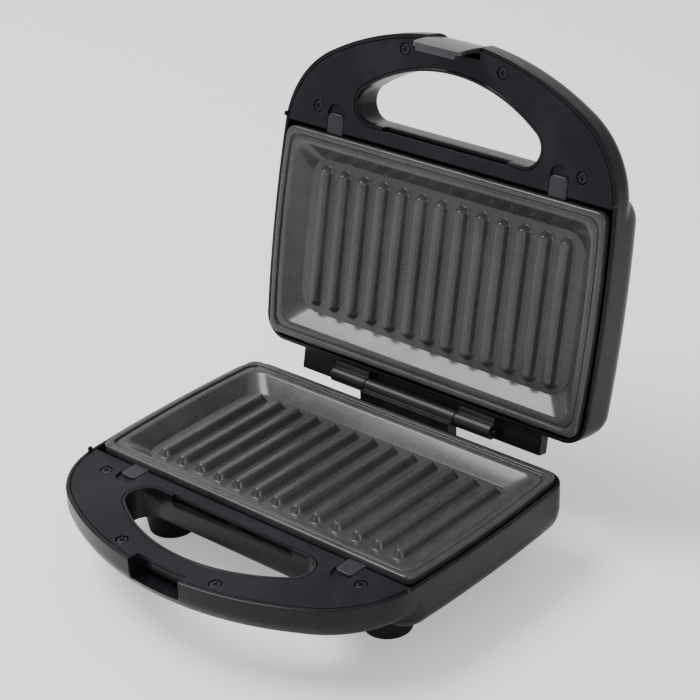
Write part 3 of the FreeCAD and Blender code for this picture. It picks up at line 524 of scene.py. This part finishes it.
def turned_surface(profile, count=72):
    """Surface of revolution about Z of a (radius, height) profile: (r cos a, r sin a, h)."""
    radius, height = np.asarray(profile, float).T
    angle = np.linspace(0, 2 * math.pi, count, endpoint=False)
    points = np.stack([radius[:, None] * np.cos(angle), radius[:, None] * np.sin(angle),
                       np.broadcast_to(height[:, None], (len(radius), count))], -1)
    return points.reshape(-1, 3), grid_faces(len(radius), count, wrap_columns=True)


def foot_profile():
    """Moulded foot: flat tread with a shallow ring groove, rounded lower edge and tapering side."""
    turn = np.linspace(-math.pi / 2, 0, 8)
    edge = np.stack([12.5 + 1.4 * np.cos(turn), 1.45 + 1.4 * np.sin(turn)], -1)
    tread = [(0.01, 0.4), (8.3, 0.4), (8.7, 0.05), (11.5, 0.05)]
    side = [(16.7, 19.0), (16.9, 19.6), (16.8, 19.95), (3.9, 19.97), (3.9, 21.85), (0.01, 21.85)]
    return np.concatenate([tread, edge, side])


# ------------------------------------------------------------------ finishes

SLOT_OF = {}
for node_name, node_object in frame["nodes"].items():
    SLOT_OF[node_name] = node_object.data.materials[0].name.split(".")[0]

# slot: base colour, metallic, roughness, coat, grain size mm, grain depth mm, speckle, haze
FINISHES = {
    "casing": ((0.0050, 0.0052, 0.0072), 0.0, 0.27, 0.08, 0.55, 0.008, 0.00, 0.08),
    "cover": ((0.0100, 0.0102, 0.0140), 0.0, 0.42, 0.00, 0.35, 0.018, 0.04, 0.10),
    "button": ((0.020, 0.0205, 0.024), 0.0, 0.40, 0.05, 0.40, 0.014, 0.00, 0.10),
    "nonstick": ((0.040, 0.041, 0.044), 0.10, 0.30, 0.25, 0.30, 0.020, 0.45, 0.10),
    "hinge_plastic": ((0.0070, 0.0072, 0.0095), 0.0, 0.36, 0.10, 0.45, 0.014, 0.00, 0.10),
    "latch": ((0.030, 0.031, 0.036), 0.0, 0.30, 0.30, 0.40, 0.012, 0.03, 0.10),
    "rubber": ((0.0075, 0.0075, 0.0085), 0.0, 0.60, 0.00, 0.50, 0.035, 0.10, 0.10),
    "plated_steel": ((0.55, 0.55, 0.54), 1.0, 0.34, 0.00, 0.60, 0.010, 0.10, 0.16),
    "element_sheath": ((0.20, 0.17, 0.15), 0.9, 0.48, 0.00, 0.60, 0.020, 0.25, 0.18),
    "ceramic": ((0.72, 0.69, 0.63), 0.0, 0.55, 0.05, 0.40, 0.030, 0.12, 0.10),
    "screw_steel": ((0.035, 0.035, 0.038), 0.9, 0.40, 0.00, 0.20, 0.008, 0.08, 0.14),
    "spring_steel": ((0.30, 0.30, 0.31), 1.0, 0.30, 0.00, 0.20, 0.006, 0.05, 0.12),
    "lamp_glass": ((0.75, 0.62, 0.50), 0.0, 0.10, 0.60, 0.80, 0.004, 0.00, 0.06),
    "red_lens": ((0.35, 0.010, 0.008), 0.0, 0.14, 0.80, 0.50, 0.006, 0.00, 0.06),
    "green_lens": ((0.010, 0.22, 0.030), 0.0, 0.14, 0.80, 0.50, 0.006, 0.00, 0.06),
}


# specular level of the dark mouldings; every other slot has 0.5
SHEEN = {"casing": 0.20, "cover": 0.14, "button": 0.30, "hinge_plastic": 0.25,
         "nonstick": 0.45, "rubber": 0.2}


def new_group(name, inputs, outputs):
    """Empty shader node group with float or vector inputs and its outputs; gives group, ins, outs."""
    group = bpy.data.node_groups.new(name, "ShaderNodeTree")
    for label, kind, value in inputs:
        socket = group.interface.new_socket(name=label, in_out="INPUT",
                                            socket_type=f"NodeSocket{kind}")
        if value is not None:
            socket.default_value = value
    for label, kind in outputs:
        group.interface.new_socket(name=label, in_out="OUTPUT",
                                   socket_type=f"NodeSocket{kind}")
    return group, group.nodes.new("NodeGroupInput"), group.nodes.new("NodeGroupOutput")


def math_node(tree, operation, first, second=None, clamp=False):
    node = tree.nodes.new("ShaderNodeMath")
    node.operation = operation
    node.use_clamp = clamp
    for socket, value in zip(node.inputs, (first, second)):
        if isinstance(value, (int, float)):
            socket.default_value = value
        elif value is not None:
            tree.links.new(value, socket)
    return node.outputs[0]


def noise_node(tree, vector, scale, detail=3.0):
    node = tree.nodes.new("ShaderNodeTexNoise")
    node.inputs["Detail"].default_value = detail
    tree.links.new(vector, node.inputs["Vector"])
    if isinstance(scale, (int, float)):
        node.inputs["Scale"].default_value = scale
    else:
        tree.links.new(scale, node.inputs["Scale"])
    return node.outputs["Fac"]


def grain_group():
    """Moulded or sprayed grain: fine cells over a slower swell, as a height from 0 to 1."""
    inputs = [("Vector", "Vector", None), ("Size", "Float", 0.0005)]
    group, ins, outs = new_group("surface_grain", inputs, [("Height", "Float")])
    scale = math_node(group, "DIVIDE", 1.0, ins.outputs["Size"])
    cells = group.nodes.new("ShaderNodeTexVoronoi")
    cells.feature = "SMOOTH_F1"
    group.links.new(ins.outputs["Vector"], cells.inputs["Vector"])
    group.links.new(scale, cells.inputs["Scale"])
    swell = noise_node(group, ins.outputs["Vector"], math_node(group, "MULTIPLY", scale, 0.13), 2.0)
    height = math_node(group, "ADD", math_node(group, "MULTIPLY", cells.outputs["Distance"], 0.7),
                       math_node(group, "MULTIPLY", swell, 1.6))
    group.links.new(height, outs.inputs["Height"])
    return group


HAZE_RANGE = (0.34, 0.72)


def haze_group():
    """Handling haze: soft patches broken by finer smears, as a mask from 0 to 1."""
    group, ins, outs = new_group("handling_haze", [("Vector", "Vector", None)], [("Mask", "Float")])
    patch = noise_node(group, ins.outputs["Vector"], 17.0, 4.0)
    smear = noise_node(group, ins.outputs["Vector"], 95.0, 5.0)
    both = math_node(group, "MULTIPLY", patch, math_node(group, "ADD", smear, 0.5))
    ramp = group.nodes.new("ShaderNodeMapRange")
    ramp.interpolation_type = "SMOOTHSTEP"
    ramp.inputs["From Min"].default_value, ramp.inputs["From Max"].default_value = HAZE_RANGE
    group.links.new(both, ramp.inputs["Value"])
    group.links.new(ramp.outputs["Result"], outs.inputs["Mask"])
    return group


def speckle_group():
    """Fine flecks in a coating, as a mask from 0 to 1."""
    inputs = [("Vector", "Vector", None), ("Scale", "Float", 1400.0)]
    group, ins, outs = new_group("coating_speckle", inputs, [("Mask", "Float")])
    cells = group.nodes.new("ShaderNodeTexVoronoi")
    group.links.new(ins.outputs["Vector"], cells.inputs["Vector"])
    group.links.new(ins.outputs["Scale"], cells.inputs["Scale"])
    split = group.nodes.new("ShaderNodeSeparateColor")
    group.links.new(cells.outputs["Color"], split.inputs["Color"])
    chosen = math_node(group, "GREATER_THAN", split.outputs["Red"], 0.72)
    near = math_node(group, "LESS_THAN", cells.outputs["Distance"], 0.42)
    group.links.new(math_node(group, "MULTIPLY", chosen, near), outs.inputs["Mask"])
    return group


STREAK_CUT, STREAK_GAIN = 0.70, 9.0


def scratch_group():
    """Hairline wear: thin bright streaks in two directions, as a mask from 0 to 1."""
    group, ins, outs = new_group("hairline_wear", [("Vector", "Vector", None)], [("Mask", "Float")])
    found = None
    for turn, stretch in ((0.4, (60, 2600, 900)), (1.3, (2200, 70, 1100))):
        mapping = group.nodes.new("ShaderNodeMapping")
        mapping.inputs["Rotation"].default_value = (0.1, 0.2, turn)
        mapping.inputs["Scale"].default_value = stretch
        group.links.new(ins.outputs["Vector"], mapping.inputs["Vector"])
        streak = noise_node(group, mapping.outputs["Vector"], 1.0, 1.0)
        above = math_node(group, "SUBTRACT", streak, STREAK_CUT)
        streak = math_node(group, "MULTIPLY", above, STREAK_GAIN, clamp=True)
        found = streak if found is None else math_node(group, "MAXIMUM", found, streak)
    group.links.new(found, outs.inputs["Mask"])
    return group


GROUP_MAKERS = {"surface_grain": grain_group, "handling_haze": haze_group,
                "coating_speckle": speckle_group, "hairline_wear": scratch_group}


def group_node(tree, name, vector):
    node = tree.nodes.new("ShaderNodeGroup")
    node.node_tree = bpy.data.node_groups.get(name) or GROUP_MAKERS[name]()
    tree.links.new(vector, node.inputs["Vector"])
    return node


def colour_sockets(node):
    """The colour sockets of a Mix node set to RGBA, which share their names with other kinds."""
    return [socket for socket in node.inputs if socket.type == "RGBA"]


HAIR_ROUGHNESS, HAIR_DEPTH, FLECK_DEPTH, COAT_ROUGHNESS = 0.12, 0.25, 0.4, 0.12
USER_COLOURS = {"casing": "casing", "cover": "cover", "button": "tab", "nonstick": "plate"}


def slot_colour(slot):
    """Base colour of a slot: the user's setting for the four main finishes, else the table's."""
    if slot in USER_COLOURS:
        return tuple(getattr(bpy.context.scene.press_colours, USER_COLOURS[slot]))
    return FINISHES[slot][0]


def finish(slot):
    """Procedural material of one slot, made once."""
    name = f"{slot}_finish"
    if name in bpy.data.materials:
        return bpy.data.materials[name]
    metallic, roughness, coat, grain_size, grain_depth, speckle, haze = FINISHES[slot][1:]
    colour = slot_colour(slot)
    material = bpy.data.materials.new(name)
    material.use_nodes = True
    tree = material.node_tree
    shader = tree.nodes["Principled BSDF"]
    vector = tree.nodes.new("ShaderNodeTexCoord").outputs["Object"]
    smear = group_node(tree, "handling_haze", vector).outputs["Mask"]
    flecks = group_node(tree, "coating_speckle", vector).outputs["Mask"]
    hairs = group_node(tree, "hairline_wear", vector).outputs["Mask"]
    grain = group_node(tree, "surface_grain", vector)
    grain.inputs["Size"].default_value = grain_size * MM
    lighter = tuple(min(1.0, part * 1.35 + 0.004) for part in colour)
    fleck = tuple(min(1.0, part * 2.6 + 0.01) for part in colour)
    tint = tree.nodes.new("ShaderNodeMix")
    tint.data_type = "RGBA"
    first, second = colour_sockets(tint)
    first.default_value, second.default_value = (*colour, 1.0), (*lighter, 1.0)
    tree.links.new(smear, tint.inputs[0])
    flecked = tree.nodes.new("ShaderNodeMix")
    flecked.data_type = "RGBA"
    first, second = colour_sockets(flecked)
    tree.links.new(next(s for s in tint.outputs if s.type == "RGBA"), first)
    second.default_value = (*fleck, 1.0)
    tree.links.new(math_node(tree, "MULTIPLY", flecks, speckle), flecked.inputs[0])
    tree.links.new(next(s for s in flecked.outputs if s.type == "RGBA"), shader.inputs["Base Color"])
    worn = math_node(tree, "ADD", math_node(tree, "MULTIPLY", smear, haze),
                     math_node(tree, "MULTIPLY", hairs, HAIR_ROUGHNESS))
    tree.links.new(math_node(tree, "ADD", worn, roughness - haze / 2, clamp=True),
                   shader.inputs["Roughness"])
    shader.inputs["Metallic"].default_value = metallic
    shader.inputs["Coat Weight"].default_value = coat
    shader.inputs["Coat Roughness"].default_value = COAT_ROUGHNESS
    shader.inputs["Specular IOR Level"].default_value = SHEEN.get(slot, 0.5)
    bump = tree.nodes.new("ShaderNodeBump")
    bump.inputs["Distance"].default_value = grain_depth * MM
    height = math_node(tree, "SUBTRACT", grain.outputs["Height"],
                       math_node(tree, "MULTIPLY", hairs, HAIR_DEPTH))
    raised = math_node(tree, "MULTIPLY", flecks, FLECK_DEPTH * speckle)
    tree.links.new(math_node(tree, "ADD", height, raised), bump.inputs["Height"])
    tree.links.new(bump.outputs["Normal"], shader.inputs["Normal"])
    return material


# ------------------------------------------------------------------ settings and operators

def length(name, description, default):
    return FloatProperty(name=name, description=description, default=default, unit="LENGTH")


def angle(name, description, degrees):
    return FloatProperty(name=name, description=description, default=math.radians(degrees),
                         subtype="ANGLE")


def colour(name, description, slot):
    return FloatVectorProperty(name=name, description=description, default=FINISHES[slot][0],
                               subtype="COLOR", min=0.0, max=1.0)


class PressSizes(bpy.types.PropertyGroup):
    rib_count: IntProperty(name="Ribs", description="Ribs across one plate", default=13, min=1)
    rib_pitch: length("Rib pitch", "Distance between ribs", 0.01467)
    rib_foot: length("Rib foot", "Width at the floor", 0.0092)
    rib_crest: length("Rib crest", "Width at the top", 0.0044)
    rib_height: length("Rib height", "Height above the floor", 0.0046)
    rib_length: length("Rib length", "Length of one rib", 0.088)
    edge: length("Soft edge", "Bevel on moulded edges", 0.00035)


class PressColours(bpy.types.PropertyGroup):
    casing: colour("Casing", "Moulded casings", "casing")
    cover: colour("Covers", "Handle covers", "cover")
    tab: colour("Tabs", "Plate release tabs", "button")
    plate: colour("Plates", "Non-stick coating", "nonstick")


class StageSettings(bpy.types.PropertyGroup):
    floor_size: length("Floor", "Half the floor's width", 3.0)
    world_light: FloatProperty(name="Surround", description="Strength of the pale surround",
                               default=0.55)
    key_power: FloatProperty(name="Key light", description="Power of the large key light",
                             default=46.0, unit="POWER")
    fill_power: FloatProperty(name="Fill light", description="Power of the side fill",
                              default=10.0, unit="POWER")
    lens: FloatProperty(name="Lens", description="Focal length in millimetres", default=107.29)
    azimuth: angle("Azimuth", "Camera's bearing", 41.84)
    elevation: angle("Elevation", "Camera's height angle", 27.58)
    roll: angle("Roll", "Camera's roll", -2.49)
    distance: length("Distance", "Camera from its target", 1.14694)


class PRESS_OT_casings(bpy.types.Operator):
    """Base and lid casings as closed surfaces around their hand slots"""
    bl_idname = "press.casings"
    bl_label = "Casings"

    def execute(self, context):
        for half in HALVES:
            surface = casing_surface(half)
            faces = grid_faces(*surface.shape[:2], wrap_rows=True, wrap_columns=True)
            points, faces = join_sheets([(surface.reshape(-1, 3), faces)] + ear_sheets())
            surface_piece(f"{half}_casing", placed(points, half), faces, f"{half}_shell")
        return {"FINISHED"}


class PRESS_OT_grill_plates(bpy.types.Operator):
    """Lower and upper cast grill plates with stepped rims and round-ended ribs"""
    bl_idname = "press.grill_plates"
    bl_label = "Grill plates"

    def execute(self, context):
        for half, side in zip(HALVES, ("lower", "upper")):
            points, faces = join_sheets(plate_sheets(context.scene.press_sizes) + plate_tabs())
            surface_piece(f"{side}_plate", placed(points, half), faces, f"{side}_grill_plate",
                          crease=50.0)
        return {"FINISHED"}


class PRESS_OT_covers(bpy.types.Operator):
    """Flat handle covers around both hand slots, with softened edges"""
    bl_idname = "press.covers"
    bl_label = "Handle covers"

    def execute(self, context):
        for half in HALVES:
            softened_copy(f"{half}_handle_cover", f"{half}_cover",
                          context.scene.press_sizes.edge)
        return {"FINISHED"}


class PRESS_OT_release_buttons(bpy.types.Operator):
    """Four flat plate release tabs with rounded front corners"""
    bl_idname = "press.release_buttons"
    bl_label = "Release buttons"

    def execute(self, context):
        for half in HALVES:
            for side in ("left", "right"):
                node = f"{half}_{side}_release_button"
                softened_copy(f"{half}_{side}_tab", node, context.scene.press_sizes.edge)
        return {"FINISHED"}


class PRESS_OT_hinge(bpy.types.Operator):
    """Hinge knuckles of the base and the lid"""
    bl_idname = "press.hinge"
    bl_label = "Hinge"

    def execute(self, context):
        edge = context.scene.press_sizes.edge
        softened_copy("base_knuckle", "base_hinge_barrel", edge)
        softened_copy("lid_knuckles", "lid_hinge_barrels", edge)
        return {"FINISHED"}


class PRESS_OT_latch(bpy.types.Operator):
    """Bowed latch clip on the lid's front"""
    bl_idname = "press.latch"
    bl_label = "Latch clip"

    def execute(self, context):
        softened_copy("clip", "latch_clip", context.scene.press_sizes.edge)
        return {"FINISHED"}


class PRESS_OT_feet(bpy.types.Operator):
    """Four moulded feet, each a surface of revolution"""
    bl_idname = "press.feet"
    bl_label = "Feet"

    def execute(self, context):
        for node in [name for name in frame["nodes"] if name.endswith("_foot")]:
            low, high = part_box(node)
            points, faces = turned_surface(foot_profile())
            centre = np.array([(low.x + high.x) / 2, (low.y + high.y) / 2, low.z])
            surface_piece(f"{node}_pad", points * MM + centre, faces, node, crease=40.0)
        return {"FINISHED"}


class PRESS_OT_frame_finishes(bpy.types.Operator):
    """Procedural finishes on every part of the frame that is shown as it is"""
    bl_idname = "press.frame_finishes"
    bl_label = "Frame finishes"

    def execute(self, context):
        for name, node in frame["nodes"].items():
            node.data.materials.clear()
            node.data.materials.append(finish(SLOT_OF[name]))
        return {"FINISHED"}


LIGHT_AIM = (0, 0, 0.1)
KEY_PLACE, KEY_SIZE = (-0.9, -0.5, 1.9), (1.4, 1.0)
FILL_PLACE, FILL_SIZE = (1.9, -1.1, 0.9), (0.9, 1.2)
SWEEP_START, SWEEP_R = 1.9, 0.6
PAPER, CAMERA_LIFT = 0.92, 0.42
TARGET = (13.42, 10.47, 69.22)


def area_light(name, place, size, power):
    data = bpy.data.lights.new(name, "AREA")
    data.shape = "RECTANGLE"
    data.size, data.size_y = size
    data.energy = power
    lamp = bpy.data.objects.new(name, data)
    bpy.context.scene.collection.objects.link(lamp)
    lamp.location = place
    lamp.rotation_euler = (Vector(LIGHT_AIM) - Vector(place)).to_track_quat("-Z", "Y").to_euler()


class PRESS_OT_stage(bpy.types.Operator):
    """Pale floor and sweep, soft studio lights and the camera"""
    bl_idname = "press.stage"
    bl_label = "Stage"

    def execute(self, context):
        stage = context.scene.press_stage
        half = stage.floor_size
        across = np.linspace(-half, half, 5)
        bend = np.linspace(0, math.pi / 2, 13)
        along = np.concatenate([[-half], SWEEP_START + SWEEP_R * np.sin(bend),
                                [SWEEP_START + SWEEP_R]])
        rise = np.concatenate([[0], SWEEP_R * (1 - np.cos(bend)), [half]])
        sweep = np.stack(np.broadcast_arrays(across, along[:, None], rise[:, None]), -1)
        turn = -stage.azimuth
        c, s = math.cos(turn), math.sin(turn)
        sweep = sweep @ np.array([[c, -s, 0], [s, c, 0], [0, 0, 1]])
        mesh = bpy.data.meshes.new("studio_sweep")
        mesh.from_pydata(sweep.reshape(-1, 3).tolist(), [], grid_faces(*sweep.shape[:2]).tolist())
        mesh.shade_smooth()
        floor = bpy.data.objects.new("studio_sweep", mesh)
        context.scene.collection.objects.link(floor)
        paper = bpy.data.materials.new("studio_paper")
        paper.use_nodes = True
        tree = paper.node_tree
        shader = tree.nodes["Principled BSDF"]
        vector = tree.nodes.new("ShaderNodeTexCoord").outputs["Object"]
        fibre = noise_node(tree, vector, 900.0, 4.0)
        shader.inputs["Base Color"].default_value = (PAPER, PAPER, PAPER, 1)
        # The sweep is lit a little more for the camera alone, so that the object's reflections stay calm.
        seen = tree.nodes.new("ShaderNodeLightPath").outputs["Is Camera Ray"]
        shader.inputs["Emission Color"].default_value = (1.0, 1.0, 1.0, 1)
        tree.links.new(math_node(tree, "MULTIPLY", seen, CAMERA_LIFT),
                       shader.inputs["Emission Strength"])
        tree.links.new(math_node(tree, "ADD", math_node(tree, "MULTIPLY", fibre, 0.1), 0.6),
                       shader.inputs["Roughness"])
        mesh.materials.append(paper)
        world = bpy.data.worlds.new("studio")
        context.scene.world = world
        world.use_nodes = True
        surround = world.node_tree.nodes["Background"]
        surround.inputs["Color"].default_value = (1.0, 1.0, 1.0, 1)
        surround.inputs["Strength"].default_value = stage.world_light
        area_light("key", KEY_PLACE, KEY_SIZE, stage.key_power)
        area_light("fill", FILL_PLACE, FILL_SIZE, stage.fill_power)
        self.add_camera(context, stage)
        return {"FINISHED"}

    @staticmethod
    def add_camera(context, stage):
        """Camera on a sphere about its target: back = (sin a cos e, -cos a cos e, sin e)."""
        a, e, roll = stage.azimuth, stage.elevation, stage.roll
        target = Vector((TARGET[0], TARGET[1] + PLATE_Y, TARGET[2] + RIM)) * MM
        back = Vector((math.sin(a) * math.cos(e), -math.cos(a) * math.cos(e), math.sin(e)))
        right = (-back).cross(Vector((0, 0, 1))).normalized()
        up = right.cross(-back)
        across = math.cos(roll) * right + math.sin(roll) * up
        upward = -math.sin(roll) * right + math.cos(roll) * up
        data = bpy.data.cameras.new("camera")
        data.sensor_width = 36.0
        data.lens = stage.lens
        data.clip_start, data.clip_end = 0.05, 50.0
        camera = bpy.data.objects.new("camera", data)
        context.scene.collection.objects.link(camera)
        turn = Matrix((across, upward, back)).transposed().to_4x4()
        camera.matrix_world = Matrix.Translation(target + back * stage.distance) @ turn
        context.scene.camera = camera


class PRESS_PT_panel(bpy.types.Panel):
    bl_label = "Panini press"
    bl_idname = "PRESS_PT_panel"
    bl_space_type = "VIEW_3D"
    bl_region_type = "UI"
    bl_category = "Press"

    def draw(self, context):
        for operator in OPERATORS:
            self.layout.operator(operator.bl_idname)


OPERATORS = (PRESS_OT_frame_finishes, PRESS_OT_casings, PRESS_OT_grill_plates, PRESS_OT_covers,
             PRESS_OT_release_buttons, PRESS_OT_hinge, PRESS_OT_latch, PRESS_OT_feet, PRESS_OT_stage)
CLASSES = (PressSizes, PressColours, StageSettings, *OPERATORS, PRESS_PT_panel)


def register():
    for cls in CLASSES:
        bpy.utils.register_class(cls)
    bpy.types.Scene.press_sizes = PointerProperty(type=PressSizes)
    bpy.types.Scene.press_colours = PointerProperty(type=PressColours)
    bpy.types.Scene.press_stage = PointerProperty(type=StageSettings)


def unregister():
    del bpy.types.Scene.press_stage
    del bpy.types.Scene.press_colours
    del bpy.types.Scene.press_sizes
    for cls in reversed(CLASSES):
        bpy.utils.unregister_class(cls)


def main():
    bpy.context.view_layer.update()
    register()
    for operator in OPERATORS:
        group, name = operator.bl_idname.split(".")
        if getattr(getattr(bpy.ops, group), name)() != {"FINISHED"}:
            raise RuntimeError(f"{operator.bl_label} didn't finish")


if __name__ == "__main__":
    main()
